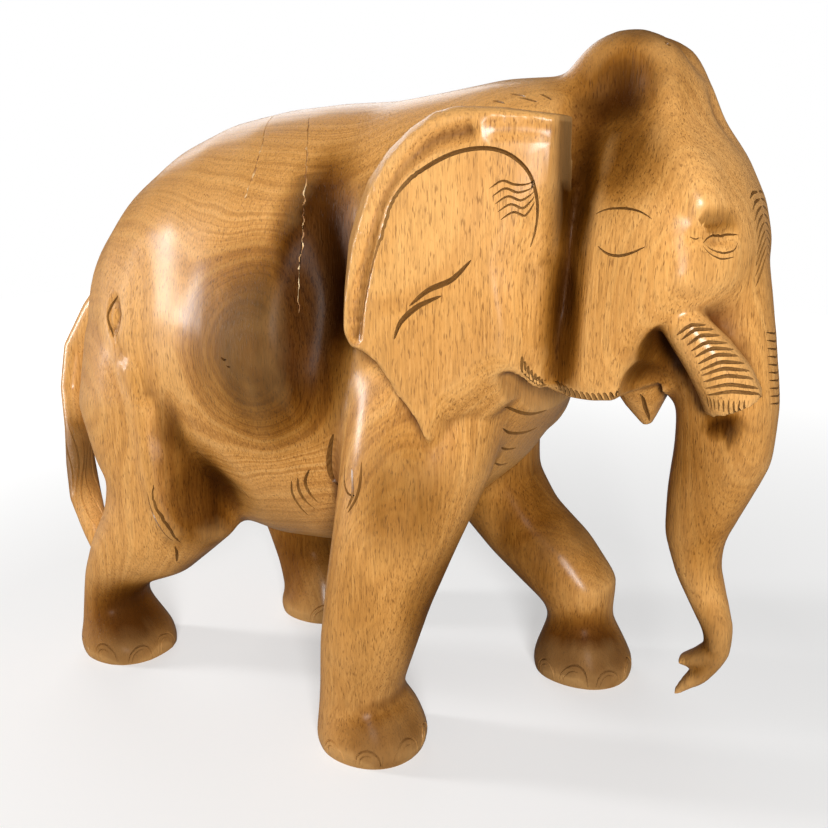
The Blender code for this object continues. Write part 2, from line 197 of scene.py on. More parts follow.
# ear outline round the flap: x, z, how far the edge is sunk into the neck, width of its bevel
EAR = [
    (66.8, 224.5, 0.0, 1.0), (58.5, 225.6, 0.0, 1.2), (50.0, 226.8, 0.0, 1.6), (37.5, 227.2, 0.0, 2.5),
    (31.0, 225.6, 0.0, 3.5), (23.5, 221.0, 0.0, 4.5), (16.2, 214.4, 0.0, 5.5), (9.6, 206.2, 0.0, 6.5),
    (5.4, 196.6, 0.0, 7.0), (2.4, 187.6, 0.0, 7.0), (1.0, 175.0, 0.0, 6.5), (0.9, 164.0, 0.0, 5.5),
    (2.2, 157.0, 0.0, 4.0), (5.6, 153.4, 0.0, 2.5), (10.6, 152.4, 0.0, 1.5), (15.4, 149.2, 0.0, 1.0),
    (18.9, 144.2, 0.0, 1.0), (21.7, 139.3, 0.0, 1.0), (25.6, 134.8, 0.0, 1.0), (28.6, 130.2, 0.0, 1.0),
    (31.5, 123.6, 0.0, 1.0), (36.0, 125.0, 8.0, 1.0), (41.0, 127.5, 11.0, 1.0), (46.0, 131.0, 11.0, 1.0),
    (51.0, 136.0, 10.0, 1.0), (56.0, 139.0, 9.0, 1.0), (62.0, 141.0, 9.0, 1.0), (64.5, 152.0, 9.0, 1.0),
    (65.2, 166.0, 9.0, 1.0), (65.8, 180.0, 8.0, 1.0), (66.4, 192.0, 5.0, 1.0), (66.8, 206.0, 1.0, 1.0),
]
EAR_MIDDLE = (36.0, 182.0)
EAR_FRONT = (66.8, 47.0)     # x of the front edge and how far out its face stands
EAR_BACK = (4.0, 68.0)       # the same at the free rear edge
EAR_SWEEP = 1.3              # above 1, the face turns outwards mostly near its rear edge
EAR_THICK = 13.0
EAR_SIDE = 1.2               # least depth of the upright edge below the bevel
# rings of the face: how far in from the bevel, and what is left there of the sinking
EAR_RINGS = ((0.0, 1.0), (4.0, 0.68), (9.0, 0.22), (15.0, 0.0))
SOLE_RINGS = 8.0             # rings of a leg below this height lie level
SAW_REACH = 54.0             # half of the saw's width
FAR_SHEATH_BACK = 4.5        # the far tusk sheath is a little smaller and further back
FAR_SHEATH_SIZE = 0.85


# ---------------------------------------------------------------- plain forms

def new_object(name, bm):
    mesh = bpy.data.meshes.new(name)
    bmesh.ops.recalc_face_normals(bm, faces=bm.faces)
    bm.to_mesh(mesh)
    bm.free()
    ob = bpy.data.objects.new(name, mesh)
    bpy.context.scene.collection.objects.link(ob)
    return ob


def add_ring(bm, centre, u, v, ru, rv, power, sides):
    """Ring of vertices on a superellipse, a circle squared up by its exponent."""
    ring = []
    for i in range(sides):
        c, s = math.cos(2.0 * math.pi * i / sides), math.sin(2.0 * math.pi * i / sides)
        k = (abs(c) ** power + abs(s) ** power) ** (-1.0 / power)
        ring.append(bm.verts.new(Vector(centre) + u * (c * k * ru) + v * (s * k * rv)))
    return ring


def skin_rings(bm, rings):
    """Walls between neighbouring rings, and a fan on each end."""
    for a, b in zip(rings[:-1], rings[1:]):
        for i in range(len(a)):
            j = (i + 1) % len(a)
            bm.faces.new((a[i], a[j], b[j], b[i]))
    for ring in (rings[0], rings[-1]):
        bmesh.ops.poke(bm, faces=[bm.faces.new(ring)])


def torso():
    bm = bmesh.new()
    skin_rings(bm, [add_ring(bm, (x, 0.0, 0.5 * (top + low)), Vector((0, 1, 0)), Vector((0, 0, 1)),
                             half, 0.5 * (top - low), power, BODY_SIDES)
                    for x, top, low, half, power in TORSO])
    return new_object("torso", bm)


def head():
    bm = bmesh.new()
    skin_rings(bm, [add_ring(bm, (0.5 * (back + front), 0.0, z), Vector((1, 0, 0)), Vector((0, 1, 0)),
                             0.5 * (front - back), half, power, BODY_SIDES)
                    for z, back, front, half, power in HEAD])
    return new_object("head", bm)


def limb(name, stations, power=2.2):
    """Round limb; its rings stand square to the run of centres, feet rings lie level."""
    bm = bmesh.new()
    rings = []
    pts = [Vector(s[:3]) for s in stations]
    for i, s in enumerate(stations):
        run = (pts[min(i + 1, len(pts) - 1)] - pts[max(i - 1, 0)]).normalized()
        if s[2] < SOLE_RINGS and name.startswith("leg"):
            run = Vector((0, 0, -1))
        across = Vector((0, 1, 0))
        across = (across - run * across.dot(run)).normalized()
        fore = run.cross(across).normalized()
        rings.append(add_ring(bm, pts[i], across, fore, s[3], s[4], power, LIMB_SIDES))
    skin_rings(bm, rings)
    return new_object(name, bm)


def ball(centre, radii):
    bpy.ops.mesh.primitive_ico_sphere_add(subdivisions=4, radius=1.0, location=centre, scale=radii)
    bpy.ops.object.transform_apply(location=True, rotation=True, scale=True)
    return bpy.context.active_object


def ear_face(x):
    """How far out the face of the ear stands at x."""
    t = (x - EAR_BACK[0]) / (EAR_FRONT[0] - EAR_BACK[0])
    return EAR_BACK[1] + (EAR_FRONT[1] - EAR_BACK[1]) * max(t, 0.0) ** EAR_SWEEP


def ear(side):
    """Flap whose face is flush with the neck in front and stands free behind and below."""
    bm = bmesh.new()
    rings = [[] for _ in range(2 + len(EAR_RINGS))]
    middle = Vector((EAR_MIDDLE[0], 0.0, EAR_MIDDLE[1]))
    for x, z, sunk, bevel in EAR:
        edge = Vector((x, 0.0, z))
        inward = (middle - edge).normalized()
        steps = [(0.0, EAR_THICK + sunk), (0.0, sunk + EAR_SIDE + bevel)]
        steps += [(bevel + run, left * sunk) for run, left in EAR_RINGS]
        for ring, (run, back) in zip(rings, steps):
            p = edge + inward * run
            ring.append(bm.verts.new((p.x, side * (ear_face(p.x) - back), p.z)))
    skin_rings(bm, rings)
    return new_object("ear", bm)


def join(objects, name):
    bpy.ops.object.select_all(action="DESELECT")
    for ob in objects:
        ob.select_set(True)
    bpy.context.view_layer.objects.active = objects[0]
    bpy.ops.object.join()
    ob = bpy.context.view_layer.objects.active
    ob.name = name
    ob.data.name = name
    return ob


def apply(ob, kind, **settings):
    modifier = ob.modifiers.new(kind.title(), kind)
    for key, value in settings.items():
        setattr(modifier, key, value)
    bpy.context.view_layer.objects.active = ob
    bpy.ops.object.modifier_apply(modifier=modifier.name)


def take_out(wood, tool):
    """Cuts a closed tool's shape out of the wood."""
    apply(wood, "BOOLEAN", operation="DIFFERENCE", solver="MANIFOLD", object=tool)
    bpy.data.objects.remove(tool, do_unlink=True)


def undercut_jaw(body):
    """Saws the wood away under the jaw, which leaves its lower edge sharp."""
    bm = bmesh.new()
    sides = [[bm.verts.new((x, y, z)) for x, z in JAW_SAW] for y in (-SAW_REACH, SAW_REACH)]
    skin_rings(bm, sides)
    take_out(body, new_object("saw", bm))


def rough_out():
    """The whole animal as one closed body, soft where limbs join and crisp at ears and lip."""
    forms = [torso(), head(), limb("trunk", TRUNK),
             limb("leg_front_near", LEG_FRONT_NEAR), limb("leg_front_far", LEG_FRONT_FAR),
             limb("leg_hind_near", LEG_HIND_NEAR), limb("leg_hind_far", LEG_HIND_FAR)]
    for side in (1.0, -1.0):
        for c, radii in (DOME, BROW, NECK_SIDE, CHEST_SIDE):
            forms.append(ball((c[0], side * c[1], c[2]), radii))
    body = join(forms, "elephant_skin")
    apply(body, "REMESH", mode="VOXEL", voxel_size=BLEND_VOXEL)
    apply(body, "SMOOTH", factor=0.5, iterations=BLEND_ROUNDS)
    sculpt(body, BODY_HOLLOWS, BODY_RIDGES)
    ears = [ear(1.0), ear(-1.0)]
    for form in [body] + ears:
        undercut_jaw(form)
    for centre, radii in MOUTH_SCOOPS:
        for side in (1.0, -1.0):
            take_out(body, ball((centre[0], side * centre[1], centre[2]), radii))
    size = FAR_SHEATH_SIZE
    far_sheath = [(s[0] - FAR_SHEATH_BACK, -size * s[1], s[2], size * s[3], size * s[4]) for s in SHEATH]
    body = join([body] + ears + [limb("tail", TAIL), limb("lobe", TRUNK_LOBE), limb("lip", LOWER_LIP),
                                 limb("sheath", SHEATH), limb("sheath", far_sheath)],
                "elephant_skin")
    apply(body, "REMESH", mode="VOXEL", voxel_size=CRISP_VOXEL)
    apply(body, "SMOOTH", factor=0.5, iterations=CRISP_ROUNDS)
    return body


# ---------------------------------------------------------------- carving

def curve_through(points, step):
    """Points about `step` apart on a smooth curve through the given ones."""
    pts = [Vector(p) for p in points]
    out = []
    for i in range(len(pts) - 1):
        p0, p1 = pts[max(i - 1, 0)], pts[i]
        p2, p3 = pts[i + 1], pts[min(i + 2, len(pts) - 1)]
        n = max(2, int((p2 - p1).length / step))
        for k in range(n):
            t = k / n
            out.append(0.5 * ((2 * p1) + (p2 - p0) * t + (2 * p0 - 5 * p1 + 4 * p2 - p3) * t * t
                              + (3 * p1 - p0 - 3 * p2 + p3) * t * t * t))
    out.append(pts[-1])
    return out


def tree_of(ob):
    src = bmesh.new()
    src.from_mesh(ob.data)
    tree = BVHTree.FromBMesh(src)
    src.free()
    return tree


def coords(ob):
    co = np.empty(len(ob.data.vertices) * 3)
    ob.data.vertices.foreach_get("co", co)
    return co.reshape(-1, 3)


def set_coords(ob, co):
    ob.data.vertices.foreach_set("co", co.ravel())
    ob.data.update()


def falloff(distance):
    """1 in the middle of a stroke, 0 at its edge, with a soft shoulder."""
    t = np.clip(1.0 - distance, 0.0, 1.0)
    return t * t * (3.0 - 2.0 * t)


def press(co, centre, radii, move):
    """Moves the wood inside an ellipsoid, most at its middle."""
    d = np.linalg.norm((co - np.array(centre)) / np.array(radii), axis=1)
    co += falloff(d)[:, None] * np.array(move)


def furrow(co, points, radius, move):
    """Moves the wood along a path, most on the path itself."""
    path = np.array([tuple(p) for p in curve_through(points, 1.5)])
    lo, hi = path.min(0) - radius, path.max(0) + radius
    near = np.nonzero(((co > lo) & (co < hi)).all(1))[0]
    if len(near):
        d = np.min(np.linalg.norm(co[near][:, None, :] - path[None], axis=2), axis=1) / radius
        co[near] += falloff(d)[:, None] * np.array(move)


def two_sides(points):
    yield 1.0, points
    yield -1.0, [(p[0], -p[1], p[2]) for p in points]


# outline of the sawn-away wood under the jaw: x, z
JAW_SAW = [
    (51.0, 147.5), (54.5, 148.0), (57.0, 145.8), (59.0, 142.6), (62.5, 140.4), (70.5, 138.6), (77.0, 138.4),
    (83.0, 139.0), (88.5, 140.6), (93.0, 142.5), (93.0, 116.0), (51.0, 116.0),
]
# scoops that make the hollow between cheek and tusk sheath: centre, radii
MOUTH_SCOOPS = [
    ((99.0, -33.0, 149.0), (9.5, 18.0, 15.5)),
    ((94.5, -31.0, 140.5), (9.5, 17.0, 13.0)),
]
# swells and hollows of the near side, repeated on the far side: centre, radii, move
BODY_HOLLOWS = [
    ((-14.0, -56.0, 168.0), (19.0, 24.0, 54.0), (0.0, 9.0, 0.0)),  # valley behind the ear
    ((-90.0, -62.0, 150.0), (20.0, 26.0, 56.0), (0.0, 1.4, 0.0)),  # between hip and belly
    ((-40.0, -61.0, 147.0), (38.0, 26.0, 46.0), (0.0, -6.0, 0.0)),  # belly's roundest place
    ((-114.0, -54.0, 128.0), (26.0, 24.0, 46.0), (-0.8, -1.8, 0.0)),  # haunch
    ((-72.0, -54.0, 82.0), (24.0, 24.0, 30.0), (0.0, 6.0, 0.0)),  # hollow before the thigh
    ((-84.0, -58.0, 104.0), (14.0, 24.0, 34.0), (0.0, 2.8, 0.0)),  # it starts up the flank
    ((70.0, -38.0, 218.0), (8.0, 18.0, 36.0), (0.0, 5.0, 0.0)),
    ((69.0, -38.0, 172.0), (7.0, 16.0, 44.0), (0.0, 1.8, 0.0)),  # valley between ear and cheek
    ((77.0, -26.0, 230.0), (17.0, 18.0, 24.0), (-1.0, 7.0, -1.0)),  # temple under the crown
    ((82.0, -33.0, 210.0), (14.0, 12.0, 18.0), (0.0, 2.5, 0.0)),  # it runs out on the cheek
    ((104.0, 0.0, 226.0), (13.0, 7.0, 16.0), (-2.5, 0.0, 0.0)),  # dip between the domes
    ((110.0, -25.0, 198.0), (18.0, 16.0, 12.0), (0.5, -0.5, 0.0)),  # brow
    ((110.0, -28.0, 190.5), (11.0, 10.0, 4.5), (-1.3, 1.9, 0.0)),  # socket under the brow
    ((103.0, -34.0, 178.0), (10.0, 9.0, 9.0), (0.0, -1.2, 0.0)),  # cheekbone
]
# strokes that raise or sink a line: points, radius, move
BODY_RIDGES = [
    ([(85.0, -13.0, 244.0), (91.0, -19.5, 231.0), (96.0, -25.0, 216.0), (103.0, -28.5, 204.0),
      (106.0, -28.0, 201.0)], 10.0, (1.0, -2.4, 0.0)),  # ridge from crown to brow
    ([(-104.0, -57.0, 132.0), (-99.0, -59.0, 116.0), (-96.5, -60.0, 100.0), (-94.0, -60.0, 86.0),
      (-88.0, -57.0, 68.0)], 8.0, (0.5, -2.2, 0.0)),  # front edge of the thigh
    ([(-92.0, -60.0, 118.0), (-78.0, -56.0, 103.0), (-66.0, -51.0, 92.0)], 8.0, (0.0, -1.6, 0.6)),
]
# finer work, after the ears are on
FINE_HOLLOWS = [
    ((110.8, -29.0, 187.6), (6.0, 6.0, 4.0), (-0.7, 1.2, 0.0)),  # eye socket
    ((111.4, -28.5, 187.5), (3.4, 4.5, 2.3), (0.8, -1.4, 0.0)),  # eyeball
    ((-113.4, -54.5, 153.5), (6.0, 9.0, 10.5), (1.3, 3.4, 0.0)),  # almond mark on the hip
    ((-113.6, -53.0, 153.0), (3.4, 7.0, 6.5), (-1.0, -2.6, 0.0)),  # its round middle
]
FINE_RIDGES = [
    ([(-114.0, -55.0, 147.0), (-111.0, -56.0, 142.0), (-106.0, -57.0, 136.5)], 3.6, (0.1, 0.9, 0.0)),
    # hollow between the ear's rim and the cut that follows it
    ([(8.5, -67.0, 158.0), (9.6, -66.5, 168.0), (11.5, -66.0, 178.0), (14.2, -65.0, 189.0),
      (17.6, -64.0, 200.0), (23.6, -62.0, 209.0), (32.0, -60.0, 216.2), (42.0, -56.0, 219.6)],
     4.4, (0.0, 2.6, 0.0)),
    ([(50.0, -53.0, 220.5), (57.0, -51.0, 220.8), (64.0, -47.0, 220.0)], 5.0, (0.0, 1.0, 0.0)),
]


# where shade is painted into the wood: centre, radii, strength; below 0 the varnish is rubbed dull instead
SHADE_AND_DULL_POOLS = [
    ((-17.0, -48.0, 174.0), (24.0, 34.0, 56.0), 1.2),  # behind the ear: painted shadow of the ear
    ((-20.0, -52.0, 146.0), (22.0, 30.0, 40.0), 0.8),
    ((-34.0, -64.0, 150.0), (46.0, 34.0, 50.0), 0.78),  # round the flank's middle: painted shadow of the ear, over wood that is darker there
    ((69.0, -34.0, 210.0), (10.0, 20.0, 52.0), 0.95),  # between ear and cheek
    ((67.5, -36.0, 164.0), (8.0, 18.0, 44.0), 0.75),
    ((75.0, -18.0, 232.0), (26.0, 24.0, 24.0), 0.55),  # temple
    ((78.0, -28.0, 214.0), (26.0, 22.0, 28.0), 0.45),
    ((80.0, -12.0, 252.0), (30.0, 24.0, 16.0), 0.50),  # crown
    ((109.0, -28.0, 194.5), (13.0, 12.0, 5.5), 0.32),  # under the brow
    ((93.0, -24.0, 150.0), (14.0, 20.0, 22.0), 0.5),  # mouth
    ((-79.0, -50.0, 82.0), (22.0, 26.0, 36.0), 0.7),  # hollow before the thigh
    ((-86.0, -56.0, 100.0), (12.0, 22.0, 28.0), 0.45),
    ((-126.0, -50.0, 14.0), (24.0, 28.0, 32.0), 1.0),  # feet and ankles
    ((14.0, -58.0, 8.0), (22.0, 24.0, 22.0), 0.6),
    ((54.0, 30.0, 10.0), (32.0, 30.0, 28.0), 1.1),
    ((24.0, 36.0, 62.0), (52.0, 34.0, 52.0), 0.50),  # legs on the shaded side
    ((-92.0, 28.0, 30.0), (30.0, 30.0, 52.0), 0.50),
    ((22.0, -60.0, 102.0), (24.0, 24.0, 34.0), 0.30),  # shoulder under the ear
    ((2.0, -50.0, 50.0), (34.0, 30.0, 56.0), 0.22),  # near front leg
    ((106.0, -8.0, 104.0), (30.0, 30.0, 60.0), 0.16),  # trunk
    ((-172.0, -31.0, 76.0), (22.0, 22.0, 38.0), 0.60),  # tuft
    ((114.0, -18.0, 131.0), (10.0, 10.0, 7.0), 0.9),  # under the tusk sheath
    ((112.0, -8.0, 44.0), (16.0, 14.0, 30.0), 0.40),  # tip of the trunk
    ((-108.0, -52.0, 166.0), (36.0, 34.0, 56.0), -1.0),  # haunch
    ((-120.0, -52.0, 120.0), (30.0, 30.0, 50.0), -0.8),
    ((100.0, -34.0, 186.0), (14.0, 12.0, 18.0), -0.7),  # cheekbone
]


def sculpt(ob, hollows, ridges):
    co = coords(ob)
    for centre, radii, move in hollows:
        for _, (c, m) in list(two_sides([centre, move]))[:2 if centre[1] else 1]:
            press(co, c, radii, m)
    for points, radius, move in ridges:
        for side, path in two_sides(points):
            furrow(co, path, radius, (move[0], side * move[1], move[2]))
    set_coords(ob, co)


# ---------------------------------------------------------------- knife and gouge cuts

BAR_OUT = 1.0        # mm, how far a V-shaped bar stands out of the wood
STROKE_LIFT = 0.12   # mm, how far above the wood a stroke starts and ends
LEAST_HALF = 0.08    # mm, half of a bar's least width


class Cutters:
    """Collects V-shaped bars that follow the skin, to be taken out of the wood together."""

    def __init__(self, skin):
        self.bm = bmesh.new()
        self.tree = tree_of(skin)

    def cut(self, points, depth=1.1, spread=0.62, blunt=0.55, step=0.9):
        """One stroke of a V-tool. It enters and leaves the wood at its ends."""
        feet = []
        for p in curve_through(points, step):
            place, normal, _, _ = self.tree.find_nearest(p)
            feet.append((place, normal))
        count = len(feet)
        normals = []
        for i in range(count):
            some = [feet[min(max(i + k, 0), count - 1)][1] for k in (-2, -1, 0, 1, 2)]
            normals.append(sum(some, Vector()).normalized())
        rings = []
        for i, (place, _) in enumerate(feet):
            up = normals[i]
            run = (feet[min(i + 1, count - 1)][0] - feet[max(i - 1, 0)][0]).normalized()
            side = run.cross(up).normalized()
            deep = depth * math.sin(math.pi * (i + 0.4) / (count - 0.2)) ** blunt - STROKE_LIFT
            half = max(spread * (deep + BAR_OUT), LEAST_HALF)
            tip = place - up * deep
            over = place + up * BAR_OUT
            rings.append([self.bm.verts.new(q) for q in (over - side * half, over + side * half, tip)])
        for a, b in zip(rings[:-1], rings[1:]):
            for k in range(3):
                m = (k + 1) % 3
                self.bm.faces.new((a[k], a[m], b[m], b[k]))
        self.bm.faces.new(rings[0])
        self.bm.faces.new(rings[-1][::-1])

    def both(self, points, **settings):
        for _, path in two_sides(points):
            self.cut(path, **settings)

    def cut_away(self, skin, shade_in_cuts):
        """Cuts, and leaves the walls of the cuts in the second finish, darkened with painted shade, when
        asked to.
        """
        tool = new_object("cuts", self.bm)
        tool.data.polygons.foreach_set("material_index", [1 if shade_in_cuts else 0] * len(tool.data.polygons))
        take_out(skin, tool)


def ear_cuts(tool):
    line = [(9.5, -66.6, 156.5), (12.0, -65.0, 166.5), (15.0, -64.0, 178.5), (18.0, -63.5, 188.5),
            (21.5, -62.8, 199.5), (26.5, -61.0, 206.0), (32.5, -59.0, 210.5), (40.0, -56.5, 214.0),
            (48.0, -53.5, 215.0), (54.5, -51.0, 213.0), (59.5, -49.0, 208.0), (62.0, -48.0, 200.0),
            (62.5, -48.0, 192.0), (61.5, -48.5, 186.0)]
    tool.both(line, depth=1.5, spread=0.5, blunt=0.35)
    tool.both([(21.5, -62.5, 157.5), (23.5, -61.5, 163.0), (28.5, -59.5, 168.0), (35.5, -57.5, 171.5)],
              depth=1.6, spread=0.6)
    tool.both([(26.0, -60.5, 168.0), (31.5, -58.5, 173.0), (38.5, -56.5, 176.5), (44.0, -54.5, 182.5)],
              depth=1.6, spread=0.6)
    for k in range(5):
        x, z = 48.4 + 0.95 * k, 203.5 - 2.25 * k
        end = 206.0 - 1.95 * k
        tool.both([(x, -52.0, z), (x + 3.6, -51.0, z + 2.3), (x + 7.2, -50.0, z + 1.2),
                   (59.4 + 0.6 * k, -49.3, 0.45 * z + 0.55 * end + 0.6 * k), (61.4, -48.9, end + 0.4 * k)],
                  depth=0.75, spread=0.6, step=0.7)


def face_cuts(tool):
    tool.both([(75.5, -36.0, 196.0), (79.5, -36.0, 197.7), (85.0, -36.0, 198.0), (89.5, -36.0, 197.0),
               (93.0, -35.8, 195.0)], depth=0.9, spread=0.5)
    tool.both([(77.5, -37.5, 186.8), (80.5, -37.8, 184.8), (84.0, -37.9, 184.2), (88.0, -37.8, 185.2),
               (92.0, -37.4, 187.2)], depth=1.0, spread=0.5)
    # eye: upper lid, two lower lids and the tick at its corner
    tool.both([(107.6, -31.2, 188.6), (109.6, -29.6, 190.0), (112.6, -26.0, 190.6), (115.2, -22.0, 190.6)],
              depth=0.9, spread=0.5, step=0.6)
    tool.both([(108.6, -30.4, 188.4), (110.2, -29.2, 186.6), (112.4, -26.8, 185.6), (114.4, -23.6, 186.2),
               (115.2, -22.0, 188.6)], depth=0.8, spread=0.5, step=0.6)
    tool.both([(107.4, -31.2, 187.6), (109.2, -30.0, 185.4), (111.8, -27.6, 183.8), (114.6, -23.4, 184.2)],
              depth=0.7, spread=0.5, step=0.6)
    tool.both([(103.8, -33.4, 190.2), (105.2, -32.6, 189.6), (106.6, -31.8, 190.2)], depth=0.5, step=0.5)
    # crease of the lip, and a pin hole in the crown
    tool.cut([(84.6, -10.0, 139.0), (85.2, -8.0, 134.5), (85.8, -5.0, 129.5), (86.2, -2.5, 126.0)],
             depth=1.3)
    tool.cut([(86.0, -13.8, 244.5), (86.4, -13.5, 243.7), (86.6, -13.4, 243.0)], depth=1.6, step=0.3)
    # row of nicks on the jaw's edge
    edge = curve_through([(57.6, -46.5, 148.6), (60.0, -45.0, 145.6), (62.8, -42.5, 142.8),
                          (66.5, -39.5, 140.6), (71.0, -37.5, 139.2), (77.0, -36.5, 138.7),
                          (83.0, -35.5, 139.3), (88.0, -33.5, 140.6)], 0.2)
    for k in range(20):
        p = edge[int((k + 0.5) / 20.0 * (len(edge) - 1))]
        tall = 4.8 - 2.0 * min(k / 7.0, 1.0)
        tool.both([(p.x - 0.9, p.y, p.z + tall), (p.x - 0.2, p.y - 0.3, p.z + 0.5 * tall),
                   (p.x + 0.2, p.y, p.z + 0.2), (p.x + 0.3, p.y + 1.5, p.z - 0.8)],
                  depth=1.3, spread=0.6, blunt=0.4, step=0.6)


def trunk_cuts(tool):
    # rings of the tusk's sheath run from its ridge over to its upper edge
    ridge = curve_through([(101.5, -33.0, 161.5), (105.2, -32.5, 158.0), (108.2, -31.4, 153.0),
                           (110.0, -29.8, 146.5), (110.8, -28.0, 142.0)], 0.5)
    upper = curve_through([(104.0, -32.0, 165.3), (110.0, -28.2, 163.4), (115.2, -26.0, 158.0),
                           (119.0, -23.8, 153.0), (122.0, -22.5, 148.0), (123.6, -20.5, 143.0)], 0.5)
    rings = 11
    for k in range(rings):
        t = (k + 0.4) / rings
        a = ridge[int(t * (len(ridge) - 1))]
        b = upper[int(min(0.14 + 0.92 * t, 1.0) * (len(upper) - 1))]
        crest = (a + b) * 0.5 + Vector((0.8, -3.0, 2.2))
        tool.both([tuple(a), tuple(crest), tuple(b)], depth=1.1, spread=0.62, step=0.7)
    for k in range(9):
        x = 110.4 + 1.3 * k
        y = -28.4 + 0.36 * k
        tool.both([(x, y, 142.6), (x + 0.1, y, 140.8), (x + 0.2, y + 0.8, 138.6)], depth=0.6, step=0.5)
    # wrinkles across the front of the trunk, in two groups
    for k in range(9):
        z = 203.5 - 2.4 * k
        x = 113.0 + 0.75 * k
        drop = 2.0 + 0.75 * k
        for side in (-1.0, 1.0):
            tool.cut([(x - 1.0, side * 10.5, z - drop - 2.0), (x + 2.0, side * 7.0, z - 0.6 * drop),
                      (x + 3.5, side * 3.5, z - 0.2 * drop), (x + 4.0, side * 0.6, z)],
                     depth=1.15, spread=0.55, blunt=0.6, step=0.7)
    for k in range(10):
        z = 159.5 - 2.5 * k
        x = 123.0 + 0.3 * k
        tool.cut([(x, -7.5, z + 0.8), (x + 3.0, -3.0, z + 0.3), (x + 4.0, 0.0, z),
                  (x + 3.0, 3.0, z + 0.3), (x, 7.5, z + 0.8)], depth=0.85, spread=0.5, step=0.7)


def body_cuts(tool):
    # folds at the throat
    tool.cut([(47.0, -38.0, 134.5), (48.6, -30.0, 130.5), (49.6, -20.0, 127.6), (50.2, -8.0, 126.4)],
             depth=1.3, spread=0.6)
    tool.cut([(44.0, -33.0, 125.0), (44.8, -25.0, 121.0), (45.6, -15.0, 118.6), (45.8, -4.0, 118.0)],
             depth=1.3, spread=0.6)
    tool.cut([(41.0, -27.0, 116.5), (41.2, -20.0, 113.0), (41.2, -12.0, 111.6)], depth=1.0, spread=0.6)
    tool.cut([(37.0, -22.0, 108.5), (37.0, -16.0, 105.4), (36.8, -9.0, 104.4)], depth=0.9, spread=0.6)
    # crescents on the belly and on the leg beside it
    tool.both([(-32.3, -49.5, 97.6), (-34.2, -47.0, 91.5), (-34.0, -43.5, 85.5), (-32.8, -39.5, 80.5)],
              depth=1.0)
    tool.both([(-29.4, -49.6, 99.2), (-30.8, -47.2, 93.2), (-30.2, -44.3, 88.5), (-28.0, -41.5, 84.5)],
              depth=1.2)
    tool.cut([(-23.6, -49.8, 103.5), (-26.8, -48.5, 98.0), (-27.0, -46.0, 92.8), (-25.5, -43.0, 88.5)],
             depth=1.2)
    tool.cut([(-11.0, -53.0, 119.0), (-14.5, -50.0, 109.0), (-15.0, -48.0, 100.0), (-10.0, -52.0, 92.0)],
             depth=1.8, spread=0.7)
    tool.cut([(-1.6, -59.0, 111.5), (-1.2, -60.3, 106.0), (2.0, -62.3, 102.5), (5.6, -63.4, 102.6)],
             depth=1.0)
    tool.cut([(2.8, -61.1, 111.5), (3.8, -62.2, 107.0), (4.4, -63.2, 102.0), (2.0, -63.4, 97.2)], depth=1.2)
    tool.cut([(7.4, -61.9, 114.5), (7.6, -62.9, 108.2), (6.4, -63.6, 102.0), (2.8, -63.7, 96.0)], depth=1.2)
    # creases of the thigh and groin
    tool.both([(-93.8, -59.5, 88.5), (-93.2, -59.4, 81.5), (-90.2, -58.5, 74.0), (-86.0, -55.0, 63.5)],
              depth=1.3, spread=0.6)
    tool.cut([(-95.4, -59.8, 85.5), (-94.4, -59.5, 78.5), (-91.8, -58.8, 72.0), (-88.2, -56.3, 65.5)],
             depth=0.9)
    tool.cut([(-89.0, -55.2, 61.5), (-90.3, -53.2, 57.5), (-93.2, -50.9, 52.5)], depth=1.1)
    tool.both([(-77.0, -54.5, 102.5), (-70.7, -52.0, 96.8), (-64.0, -49.5, 90.4), (-58.0, -45.3, 83.4)],
              depth=0.9)
    # outline of the almond mark on the hip
    tool.both([(-111.6, -55.0, 161.5), (-116.5, -54.0, 157.0), (-118.2, -54.0, 151.5),
               (-114.0, -56.0, 144.5)], depth=1.1, step=0.7)
    tool.both([(-111.0, -55.5, 161.0), (-108.4, -57.0, 155.0), (-109.6, -57.0, 149.0),
               (-113.0, -56.5, 144.8)], depth=0.9, step=0.7)
    # knot in the flank, and the carver's stop marks on the shelf above the ear
    tool.cut([(-48.6, -62.0, 145.2), (-47.2, -62.0, 144.4), (-46.0, -62.0, 144.8)], depth=0.9, step=0.4)
    tool.cut([(-46.4, -62.0, 142.6), (-45.4, -62.0, 142.2), (-44.6, -62.0, 142.4)], depth=0.7, step=0.4)
    for x, y, reach in ((58.0, -30.0, 5.0), (54.0, -33.0, 7.0), (49.0, -30.0, 6.0), (43.0, -34.0, 5.0)):
        tool.both([(x, y, 231.0), (x - reach * 0.6, y + 1.2, 231.5), (x - reach, y + 1.6, 232.0)],
                  depth=0.8)


def tail_cuts(tool):
    """Wavy locks of the tuft."""
    thick = 7.0
    locks = 10
    run = [(-181.5, -22.0, 100.0), (-178.5, -25.0, 92.0), (-171.0, -31.0, 77.0), (-162.5, -36.0, 64.0),
           (-154.0, -40.5, 50.0)]
    for k in range(locks):
        lock = []
        for i, p in enumerate(curve_through(run, 7.0)[1:]):
            swing = 2.0 * math.pi * k / locks + 0.45 * math.sin(1.1 * i + 0.6 * k)
            lock.append((p.x + thick * math.cos(swing) * 0.8, p.y + thick * math.sin(swing),
                         p.z + thick * math.cos(swing) * 0.5))
        tool.cut(lock, depth=0.8, spread=0.8, blunt=0.6)


